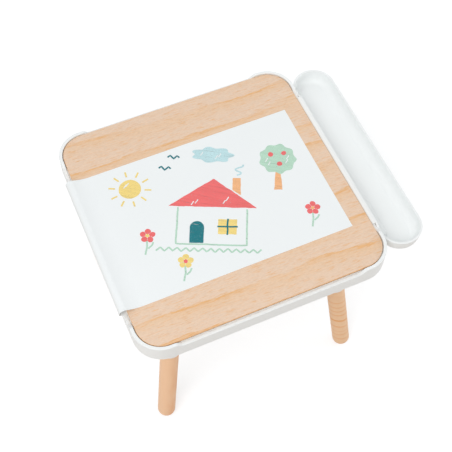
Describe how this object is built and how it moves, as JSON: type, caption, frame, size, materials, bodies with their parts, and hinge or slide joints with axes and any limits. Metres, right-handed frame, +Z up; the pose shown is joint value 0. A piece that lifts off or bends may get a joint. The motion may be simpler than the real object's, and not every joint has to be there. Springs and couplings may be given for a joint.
{
  "type": "children's drawing table",
  "caption": "Low square children's drawing table: lift-off plywood top over a storage bin and a paper roll, hook-on pen tray, splayed wooden legs.",
  "frame": {"origin": "middle of the whole table's outline, pen tray and paper bend included, on the floor", "axes": "+X along the front edge towards the pen tray, +Y from front to rear, +Z up"},
  "size_m": [0.6132, 0.515, 0.4369],
  "materials": {
    "white_plastic": "smooth satin moulding",
    "plywood": "clear matt lacquer on a light figured veneer",
    "beech": "clear matt lacquer",
    "paper": "uncoated drawing paper",
    "card": "brown cardboard",
    "steel": "zinc plated",
    "brass": "plain turned brass"
  },
  "bodies": {
    "frame": {"rim_frame": "white_plastic", "deck_panel": "white_plastic", "deck_screws": "steel", "storage_bin": "white_plastic", "bin_screws": "steel", "leg_front_left": "beech", "leg_front_right": "beech", "leg_rear_left": "beech", "leg_rear_right": "beech", "sleeve_front_left": "white_plastic", "sleeve_front_right": "white_plastic", "sleeve_rear_left": "white_plastic", "sleeve_rear_right": "white_plastic", "sleeve_screws": "steel", "leg_bolts": "steel", "leg_washers": "steel", "leg_inserts": "brass", "roll_cradle_front": "white_plastic", "roll_cradle_rear": "white_plastic", "cradle_screws": "steel", "roll_spindle": "beech", "paper_web": "paper"},
    "top": {"tabletop": "plywood", "drawing_sheet": "paper"},
    "tray": {"pen_tray": "white_plastic"},
    "roll": {"roll_hub_front": "white_plastic", "roll_hub_rear": "white_plastic", "roll_core": "card", "paper_roll": "paper"}
  },
  "joints": [
    {"name": "top_lift", "type": "slide", "parent": "frame", "child": "top", "axis": [0, 0, 1], "range_m": [0, 0.12]},
    {"name": "tray_lift", "type": "slide", "parent": "frame", "child": "tray", "axis": [0, 0, 1], "range_m": [0, 0.05]},
    {"name": "roll_spin", "type": "hinge", "parent": "frame", "child": "roll", "pos_m": [-0.13892, 0, 0.377], "axis": [0, 1, 0], "continuous": true}
  ]
}
